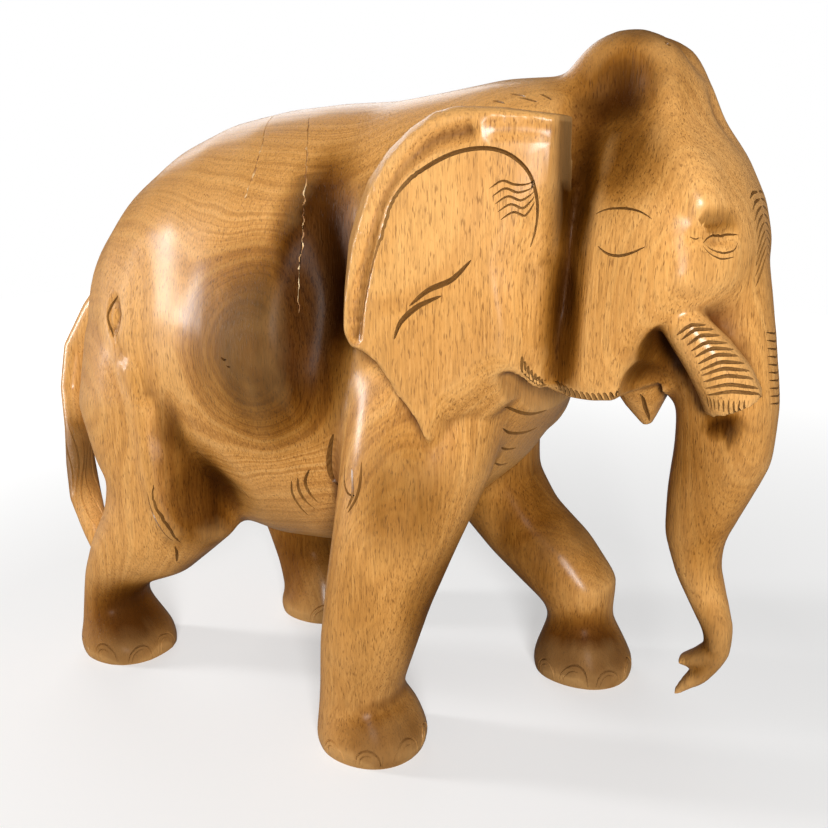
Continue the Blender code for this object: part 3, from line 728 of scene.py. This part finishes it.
def toe_cuts(tool):
    """Nails: uneven arches cut round the front of each foot."""
    rng = random.Random(4)
    for cx, cy, rx, ry, angles in ((2.2, -48.5, 21.3, 20.5, (-104, -64, -20, 20)),
                                   (51.0, 43.5, 21.0, 20.0, (-120, -84, -40, 0)),
                                   (-134.5, -43.0, 21.0, 20.5, (-118, -74, -30, 10)),
                                   (-80.5, 34.0, 21.5, 20.5, (-60, -20, 20, 60))):
        for mid in angles:
            wide = rng.uniform(13.0, 18.0)
            tall = rng.uniform(7.0, 10.0)
            lean = rng.uniform(-0.25, 0.25)
            for share in (1.0, 0.72):
                arch = []
                for t in (-1.0, -0.82, -0.45, 0.0, 0.45, 0.82, 1.0):
                    a = math.radians(mid + wide * share * t)
                    z = 1.0 + tall * share * (1.0 - t * t) ** 0.5 * (1.0 + lean * t)
                    arch.append((cx + rx * math.cos(a), cy + ry * math.sin(a), z))
                tool.cut(arch[:5] if share < 1.0 else arch, depth=0.8 * share, spread=0.7, blunt=0.6)


CHECK_BACK = [
    (-62.0, -17.0, 229.0), (-57.0, -27.0, 223.5), (-52.0, -36.0, 218.0), (-49.8, -43.0, 210.0),
    (-49.2, -50.0, 199.0),
]
CHECK_FLANK = [
    (-41.0, -22.0, 229.0), (-34.0, -32.5, 222.0), (-29.0, -40.0, 213.0), (-25.5, -46.0, 204.0),
    (-23.0, -51.0, 192.0), (-21.2, -54.5, 179.0), (-19.6, -57.0, 163.0),
]


def check_cuts(tool):
    """Drying checks: fine splits that the filler stands in."""
    for path in (CHECK_BACK, CHECK_FLANK):
        tool.cut(path, depth=1.3, spread=0.13, blunt=0.25)


def flat_soles(ob):
    """All four feet cut off square on one level."""
    bpy.ops.object.select_all(action="DESELECT")
    ob.select_set(True)
    bpy.context.view_layer.objects.active = ob
    bpy.ops.object.mode_set(mode="EDIT")
    bpy.ops.mesh.select_all(action="SELECT")
    bpy.ops.mesh.bisect(plane_co=(0, 0, 0), plane_no=(0, 0, 1), use_fill=True, clear_inner=True)
    bpy.ops.mesh.select_all(action="SELECT")
    bpy.ops.mesh.quads_convert_to_tris()
    bpy.ops.object.mode_set(mode="OBJECT")


# what the masks read: name, rounds of smoothing, depth in mm that counts as full
READINGS = (("hollow", 40, 1.6), ("valley", 260, 4.0))


def read_hollows(ob):
    """Masks of the uncut skin, one value to a vertex.

    `hollow` and `valley` are above 0 in hollows a few millimetres wide and in valleys
    two or three times as wide, and below 0 on edges; in hollows and valleys they paint
    shade into the wood. `painted_shade` is above 0 where shade is painted into the wood,
    and below 0 where the varnish is rubbed dull.
    """
    co = coords(ob)
    normals = np.empty(len(co) * 3)
    ob.data.vertices.foreach_get("normal", normals)
    soft = ob.copy()
    soft.data = ob.data.copy()
    bpy.context.scene.collection.objects.link(soft)
    masks = {}
    for name, rounds, deep in READINGS:
        apply(soft, "SMOOTH", factor=0.5, iterations=rounds)
        sunk = ((coords(soft) - co) * normals.reshape(-1, 3)).sum(1)
        masks[name] = np.clip(sunk / deep, -1.0, 1.0)
    bpy.data.objects.remove(soft, do_unlink=True)
    # painted shade from the table of pools; below 0 the varnish is rubbed dull
    painted_shade = np.zeros(len(co))
    for centre, radii, strength in SHADE_AND_DULL_POOLS:
        for _, (c,) in two_sides([centre]):
            d = np.linalg.norm((co - np.array(c)) / np.array(radii), axis=1)
            pool = strength * np.minimum(1.25 * falloff(d), 1.0)
            painted_shade = np.where(np.abs(pool) > np.abs(painted_shade), pool, painted_shade)
    masks["painted_shade"] = painted_shade
    return co, masks


def paint_hollows(ob, co, masks):
    """Gives each vertex of the cut skin the masks of the nearest uncut one."""
    tree = KDTree(len(co))
    for i, p in enumerate(co):
        tree.insert(p, i)
    tree.balance()
    nearest = np.array([tree.find(p)[1] for p in coords(ob)])
    for name, values in masks.items():
        layer = ob.data.attributes.new(name, "FLOAT", "POINT")
        layer.data.foreach_set("value", values[nearest].astype(np.float32))


def carve():
    skin = rough_out()
    sculpt(skin, FINE_HOLLOWS, FINE_RIDGES)
    triangles = 2.0 * len(skin.data.polygons)
    apply(skin, "DECIMATE", decimate_type="COLLAPSE", ratio=SKIN_TRIANGLES / triangles)
    flat_soles(skin)
    masks = read_hollows(skin)
    skin.data.materials.append(None)
    skin.data.materials.append(None)
    # True: the walls of these cuts get painted shade
    for work, shade_in_cuts in ((ear_cuts, True), (face_cuts, True), (trunk_cuts, True), (body_cuts, True),
                          (tail_cuts, False), (toe_cuts, False), (check_cuts, False)):
        tool = Cutters(skin)
        work(tool)
        tool.cut_away(skin, shade_in_cuts)
    paint_hollows(skin, *masks)
    return skin


# ---------------------------------------------------------------- onto the frame

def place(pieces, skin):
    """Fits the skin's box to the CAD block's box and moves every piece with it."""
    low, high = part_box("carved_block")
    co = coords(skin)
    mine_low, mine_high = Vector(co.min(0)) * MM, Vector(co.max(0)) * MM
    size = Matrix.Identity(4)
    for axis in range(3):
        size[axis][axis] = MM * (high - low)[axis] / (mine_high - mine_low)[axis]
    corner = size @ Vector(co.min(0))
    move = Matrix.Translation(Vector(low) - corner) @ size
    for ob in pieces:
        ob.data.transform(move)
    return move


# ---------------------------------------------------------------- finishes

def colour(hex_code):
    """sRGB hex to linear RGBA."""
    parts = [int(hex_code[i:i + 2], 16) / 255.0 for i in (1, 3, 5)]
    return [c / 12.92 if c <= 0.04045 else ((c + 0.055) / 1.055) ** 2.4 for c in parts] + [1.0]


def add(tree, kind, inputs=None, stops=(), **settings):
    """Adds a node: its settings, its inputs (values, or sockets to link from) and a ramp's stops."""
    node = tree.nodes.new(kind)
    for key, value in settings.items():
        setattr(node, key, value)
    for key, value in (inputs or {}).items():
        if isinstance(value, bpy.types.NodeSocket):
            tree.links.new(value, node.inputs[key])
        else:
            node.inputs[key].default_value = value
    if stops:
        steps = node.color_ramp.elements
        while len(steps) < len(stops):
            steps.new(0.5)
        for step, (where, tone) in zip(steps, stops):
            step.position = where
            step.color = colour(tone)
    return node


def new_finish(name):
    mat = bpy.data.materials.new(name)
    mat.use_nodes = True
    mat.node_tree.nodes.clear()
    return mat, mat.node_tree


def cells(size):
    """Scale of a noise whose marks are about this many millimetres apart."""
    return 1.0 / (size * MM)


# sizes of the wood's and the finish's marks, mm
LOG_WAVE = 62.5          # slow waves in the run of the rings
LOG_SWAY = 10.0          # and how far they push a ring
RING_STEP = 1.7857       # early and late wood of one year
FIBRE_WIDE = 0.66667
PORE_WIDE = 0.43478      # drawn a little coarser than real, so that it still shows
PATCH = 83.333           # paler and darker parts of the block
SHADE_BLOTCH = 16.6667           # blotches that break up the painted shade
TOOL_MARK = 14.2857      # facets left by the scraper
SPECK = 3.84615          # grains of the filler
CORE_REACH = 48.0        # how far round the branch its rings rise
CORE_RISE = 13.0
FIBRE_RUN = 0.07         # width of a fibre over its length
PORE_RUN = 0.14          # width of a pore over its length
PITH = (-34.0, 150.0, 0.0)           # the log's centre line, in the modelling axes
BRANCH_CORE = (-31.0, -63.0, 147.0)  # middle of the rings on the flank
CUT_SHADE = 0.62         # how dark the painted shade stands in the cuts


def varnished_teak(name, pith, core_at, painted_shade):
    """Teak, hand-carved and brushed with one thin coat of varnish.

    The log was sawn flat: rings show as nested ovals where the flank bulges through them
    and as fine streaks on the head and legs. Pores are dark dashes 2 to 3 mm long. Shade is
    painted darker, with an amber tint, into hollows, valleys, the cuts and the pools of shade,
    and edges are rubbed paler.
    """
    mat, tree = new_finish(name)
    spot = add(tree, "ShaderNodeTexCoord").outputs["Object"]
    log = add(tree, "ShaderNodeMapping", {"Vector": spot, "Location": (-pith[0], -pith[1], 0.0)}).outputs[0]
    # distance from the pith, bent by slow noise as a real log's rings are
    wave = add(tree, "ShaderNodeTexNoise", {"Vector": log, "Scale": cells(LOG_WAVE), "Detail": 2.0})
    flat = add(tree, "ShaderNodeVectorMath", {0: log, 1: (1.0, 1.0, 0.05)}, operation="MULTIPLY").outputs[0]
    reach = add(tree, "ShaderNodeVectorMath", {0: flat}, operation="LENGTH").outputs["Value"]
    radius = add(tree, "ShaderNodeMath", {0: wave.outputs["Fac"], 1: LOG_SWAY * MM, 2: reach},
                 operation="MULTIPLY_ADD").outputs[0]
    # a branch once left the log here: the rings rise round it and close on its core
    away = add(tree, "ShaderNodeVectorMath", {0: spot, 1: tuple(core_at)}, operation="SUBTRACT").outputs[0]
    away = add(tree, "ShaderNodeVectorMath", {0: away, 1: (1.0, 0.6, 0.8)}, operation="MULTIPLY").outputs[0]
    away = add(tree, "ShaderNodeVectorMath", {0: away}, operation="LENGTH").outputs["Value"]
    rise = add(tree, "ShaderNodeMapRange", {"Value": away, "From Max": CORE_REACH * MM,
                                            "To Min": CORE_RISE * MM, "To Max": 0.0},
               interpolation_type="SMOOTHSTEP").outputs[0]
    radius = add(tree, "ShaderNodeMath", {0: radius, 1: rise}, operation="ADD").outputs[0]
    ring = add(tree, "ShaderNodeTexNoise", {"W": radius, "Scale": cells(RING_STEP), "Detail": 3.0,
                                            "Roughness": 0.65}, noise_dimensions="1D").outputs["Fac"]
    along = add(tree, "ShaderNodeVectorMath", {0: spot, 1: (1.0, 1.0, FIBRE_RUN)},
                operation="MULTIPLY").outputs[0]
    fibre = add(tree, "ShaderNodeTexNoise", {"Vector": along, "Scale": cells(FIBRE_WIDE), "Detail": 3.0,
                                             "Roughness": 0.65}).outputs["Fac"]
    blotch = add(tree, "ShaderNodeTexNoise", {"Vector": along, "Scale": cells(SHADE_BLOTCH), "Detail": 3.0})
    dashes = add(tree, "ShaderNodeVectorMath", {0: spot, 1: (1.0, 1.0, PORE_RUN)},
                 operation="MULTIPLY").outputs[0]
    pore = add(tree, "ShaderNodeTexNoise", {"Vector": dashes, "Scale": cells(PORE_WIDE), "Detail": 1.0})
    patch = add(tree, "ShaderNodeTexNoise", {"Vector": spot, "Scale": cells(PATCH), "Detail": 2.0})
    height = add(tree, "ShaderNodeSeparateXYZ", {"Vector": spot}).outputs["Z"]
    hollow, valley, pool = [add(tree, "ShaderNodeAttribute", attribute_name=mask).outputs["Fac"]
                            for mask in ("hollow", "valley", "painted_shade")]
    # noise makes the painted shade darker in some places than in others
    blotchy = add(tree, "ShaderNodeMath", {0: blotch.outputs["Fac"], 1: 1.8, 2: 0.10},
                operation="MULTIPLY_ADD").outputs[0]
    pooled_shade = add(tree, "ShaderNodeMath", {0: pool, 1: blotchy}, operation="MULTIPLY",
                 use_clamp=True).outputs[0]
    # painted shade: the base colour is darkened towards amber brown
    depth = add(tree, "ShaderNodeMath", {0: pooled_shade, 1: 1.25}, operation="MULTIPLY").outputs[0]
    shade_tint = add(tree, "ShaderNodeGamma", {"Color": colour("#63502C"), "Gamma": depth}).outputs[0]

    # how much of each mark shows: what it follows, from where to where, and its share there
    share = {}
    for mark, follows, start, end, at_start, at_end in (
            ("rings", away, 0.010, 0.080, 0.45, 0.20),       # plainest round the branch
            ("core", away, 0.007, 0.011, 0.65, 0.0),
            ("glint", fibre, 0.54, 0.72, 0.0, 0.32),
            ("pores", pore.outputs["Fac"], 0.58, 0.72, 0.0, 0.6),
            # hollow and valley paint shade into the wood
            ("hollow", hollow, 0.05, 0.8, 0.0, 0.85),
            ("valley", valley, 0.05, 0.75, 0.0, 0.8),
            ("darker_low", height, 0.004, 0.050, 0.45, 0.0),     # darker towards the bottom
            ("worn", hollow, -0.10, -0.75, 0.0, 0.4),        # edges, rubbed paler
            ("rough", fibre, 0.3, 0.7, 0.40, 0.58),
            ("coat", pooled_shade, 0.0, 0.4, 0.42, 0.02),          # less varnish gloss where shade is painted
            ("gloss", pool, -0.8, 0.0, 0.06, 1.0)):          # lost where it is rubbed dull
        share[mark] = add(tree, "ShaderNodeMapRange", {
            "Value": follows, "From Min": start, "From Max": end,
            "To Min": at_start, "To Max": at_end}).outputs[0]

    base = add(tree, "ShaderNodeValToRGB", {"Fac": patch.outputs["Fac"]},
               [(0.30, "#B27B3A"), (0.52, "#C68E4B"), (0.72, "#D6A162")]).outputs[0]
    rings = add(tree, "ShaderNodeValToRGB", {"Fac": ring},
                [(0.38, "#8C5826"), (0.50, "#C38A47"), (0.62, "#DBA865")]).outputs[0]
    streak = add(tree, "ShaderNodeValToRGB", {"Fac": fibre},
                 [(0.34, "#C4C4C4"), (0.50, "#F7F7F7"), (0.66, "#FFFFFF")]).outputs[0]
    for part, tone, how in (
            (share["rings"], rings, "MIX"), (share["core"], colour("#B5751A"), "MIX"),
            (0.6, streak, "MULTIPLY"), (share["glint"], colour("#D9A868"), "MIX"),
            # the hollow and valley layers are painted shade
            (share["pores"], colour("#5E3512"), "MIX"), (share["hollow"], colour("#4A2408"), "MIX"),
            (share["valley"], colour("#5A2E0A"), "MIX"), (1.0, shade_tint, "MULTIPLY"),
            (share["darker_low"], colour("#633A16"), "MIX"), (share["worn"], colour("#D2A468"), "MIX"),
            # painted shade in the walls of the cuts
            (painted_shade, colour("#2A1204"), "MIX")):
        base = add(tree, "ShaderNodeMix", {0: part, 6: base, 7: tone}, data_type="RGBA",
                   blend_type=how).outputs[2]

    relief = add(tree, "ShaderNodeMath", {0: share["pores"], 1: -0.8, 2: fibre},
                 operation="MULTIPLY_ADD").outputs[0]
    grain = add(tree, "ShaderNodeBump", {"Height": relief, "Strength": 0.65,
                                         "Distance": 0.3 * MM}).outputs[0]
    facet = add(tree, "ShaderNodeTexNoise", {"Vector": spot, "Scale": cells(TOOL_MARK), "Detail": 1.5})
    bump = add(tree, "ShaderNodeBump", {"Height": facet.outputs["Fac"], "Strength": 0.30,
                                        "Distance": 1.2 * MM, "Normal": grain}).outputs[0]
    coat = add(tree, "ShaderNodeMath", {0: share["coat"], 1: share["gloss"]},
               operation="MULTIPLY").outputs[0]
    shader = add(tree, "ShaderNodeBsdfPrincipled", {
        "Base Color": base, "Roughness": share["rough"], "Normal": bump, "IOR": 1.5,
        "Specular IOR Level": 0.16, "Specular Tint": colour("#D89A5C"),
        "Coat Weight": coat, "Coat Roughness": 0.24, "Coat IOR": 1.5})
    add(tree, "ShaderNodeOutputMaterial", {"Surface": shader.outputs[0]})
    return mat


def rubbed_filler():
    """Wood filler, pressed into the drying checks and rubbed down: pale, matt and patchy."""
    mat, tree = new_finish("rubbed_filler")
    spot = add(tree, "ShaderNodeTexCoord").outputs["Object"]
    speck = add(tree, "ShaderNodeTexNoise", {"Vector": spot, "Scale": cells(SPECK),
                                             "Detail": 2.0}).outputs["Fac"]
    base = add(tree, "ShaderNodeValToRGB", {"Fac": speck},
               [(0.40, "#7A4A20"), (0.54, "#B58A54"), (0.66, "#D8BD92")]).outputs[0]
    bump = add(tree, "ShaderNodeBump", {"Height": speck, "Strength": 0.5, "Distance": 0.3 * MM}).outputs[0]
    shader = add(tree, "ShaderNodeBsdfPrincipled", {"Base Color": base, "Roughness": 0.7, "Normal": bump})
    add(tree, "ShaderNodeOutputMaterial", {"Surface": shader.outputs[0]})
    return mat


FILLER_DEEP = 1.1        # mm, how far the filler reaches into its check


def filler(name, tree, points, wide):
    """Thin lumpy bead of filler that stands just below the lips of its check."""
    rng = random.Random(len(points))
    bm = bmesh.new()
    rings = []
    line = curve_through(points, 1.2)
    feet = [tree.find_nearest(p)[:2] for p in line]
    for i, (place, up) in enumerate(feet):
        run = (feet[min(i + 1, len(feet) - 1)][0] - feet[max(i - 1, 0)][0]).normalized()
        side = run.cross(up).normalized() * wide * (0.3 + 0.7 * rng.random() ** 2)
        top = place + up * rng.uniform(-0.10, 0.06)
        low = place - up * FILLER_DEEP
        rings.append([bm.verts.new(q) for q in (top - side, top + side, low + side * 0.2, low - side * 0.2)])
    skin_rings(bm, rings)
    return new_object(name, bm)


# ---------------------------------------------------------------- the studio

VIEW_AZIMUTH = 31.0      # degrees round from the animal's right side towards its front
VIEW_ELEVATION = 14.46   # degrees down
CAMERA_AT = (177.2, -310.4, 208.4)   # mm, in the modelling axes
FOCAL = 40.87            # mm, on a 36 mm wide sensor
FLOOR_WIDE = 2.4         # m
# soft lights: name, place, aim, size, all in metres, and watts
LIGHTS = (
    ("window_left", (-1.25, -0.52, 0.36), (-0.05, 0.0, 0.15), (0.16, 0.6), 14.0),
    ("lamp_front", (0.72, -0.96, 0.38), (0.03, 0.0, 0.16), (0.32, 0.32), 20.3),
    ("wall_behind", (-0.85, 0.75, 0.75), (-0.05, 0.0, 0.18), (0.8, 0.5), 4.0),
)


def aimed(name, data, place, ahead):
    """Puts a camera or a lamp in its place, turned to look ahead."""
    ob = bpy.data.objects.new(name, data)
    bpy.context.scene.collection.objects.link(ob)
    ob.location = place
    ob.rotation_euler = ahead.to_track_quat("-Z", "Y").to_euler()
    return ob


def camera(move):
    data = bpy.data.cameras.new("camera")
    data.sensor_width = 36.0
    data.lens = FOCAL
    data.clip_start = 0.01
    a, e = math.radians(VIEW_AZIMUTH), math.radians(VIEW_ELEVATION)
    ahead = Vector((-math.sin(a) * math.cos(e), math.cos(a) * math.cos(e), -math.sin(e)))
    bpy.context.scene.camera = aimed("camera", data, move.translation + Vector(CAMERA_AT) * MM, ahead)


def soft_light(name, place, aim, size, power):
    data = bpy.data.lights.new(name, "AREA")
    data.shape = "RECTANGLE"
    data.size, data.size_y = size
    data.energy = power
    aimed(name, data, place, Vector(aim) - Vector(place))


def matt_paper():
    """White paper, matt: it shows soft shadows and no gloss.

    It glows more and more away from its middle, so that it runs into the white room behind,
    and throws only a little of its light back on the wood.
    """
    mat, tree = new_finish("matt_paper")
    spot = add(tree, "ShaderNodeTexCoord").outputs["Object"]
    reach = add(tree, "ShaderNodeVectorMath", {0: spot}, operation="LENGTH").outputs["Value"]
    glow = add(tree, "ShaderNodeMapRange", {"Value": reach, "From Min": 0.20, "From Max": 0.9,
                                            "To Min": 0.42, "To Max": 0.97}).outputs[0]
    seen = add(tree, "ShaderNodeLightPath").outputs["Is Camera Ray"]
    glow = add(tree, "ShaderNodeMath", {0: glow, 1: seen}, operation="MULTIPLY").outputs[0]
    tone = add(tree, "ShaderNodeMix", {0: seen, 6: colour("#8C8C8C"), 7: colour("#C4C4C4")},
               data_type="RGBA").outputs[2]
    shader = add(tree, "ShaderNodeBsdfPrincipled", {
        "Base Color": tone, "Roughness": 0.9, "Specular IOR Level": 0.0,
        "Emission Color": colour("#FFFFFF"), "Emission Strength": glow})
    add(tree, "ShaderNodeOutputMaterial", {"Surface": shader.outputs[0]})
    return mat


def white_room():
    """White to look at, but with much dimmer light."""
    world = bpy.data.worlds.new("studio")
    world.use_nodes = True
    tree = world.node_tree
    tree.nodes.clear()
    seen = add(tree, "ShaderNodeLightPath").outputs["Is Camera Ray"]
    white = add(tree, "ShaderNodeBackground", {"Color": colour("#FFFFFF"), "Strength": 1.0}).outputs[0]
    dim = add(tree, "ShaderNodeBackground", {"Color": colour("#FFFCF7"), "Strength": 0.13}).outputs[0]
    room = add(tree, "ShaderNodeMixShader", {0: seen, 1: dim, 2: white}).outputs[0]
    add(tree, "ShaderNodeOutputWorld", {"Surface": room})
    return world


def studio():
    bpy.ops.mesh.primitive_plane_add(size=FLOOR_WIDE, location=(0.0, 0.0, 0.0))
    floor = bpy.context.active_object
    floor.name = "pale_floor"
    floor.data.materials.append(matt_paper())
    bpy.context.scene.world = white_room()
    bpy.context.scene.view_settings.view_transform = "Standard"
    for light in LIGHTS:
        soft_light(*light)


# ---------------------------------------------------------------- make it all

def main():
    skin = carve()
    tree = tree_of(skin)
    fillers = [filler("filler_back", tree, CHECK_BACK, 0.30),
               filler("filler_flank", tree, CHECK_FLANK, 0.15)]
    move = place([skin] + fillers, skin)
    pith, core_at = move @ Vector(PITH), move @ Vector(BRANCH_CORE)
    bpy.ops.object.select_all(action="DESELECT")
    skin.select_set(True)
    bpy.context.view_layer.objects.active = skin
    bpy.ops.object.shade_smooth_by_angle(angle=math.radians(SHARP_EDGE))
    skin.data.materials[0] = varnished_teak("varnished_teak", pith, core_at, 0.0)
    skin.data.materials[1] = varnished_teak("varnished_teak_shaded_cut", pith, core_at, CUT_SHADE)
    pale = rubbed_filler()
    for ob, node in zip(fillers, ("check_filler_back", "check_filler_flank")):
        ob.data.materials.append(pale)
        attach(ob, "root")
        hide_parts(node)
    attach(skin, "root")
    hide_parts("carved_block")
    studio()
    camera(move)


main()
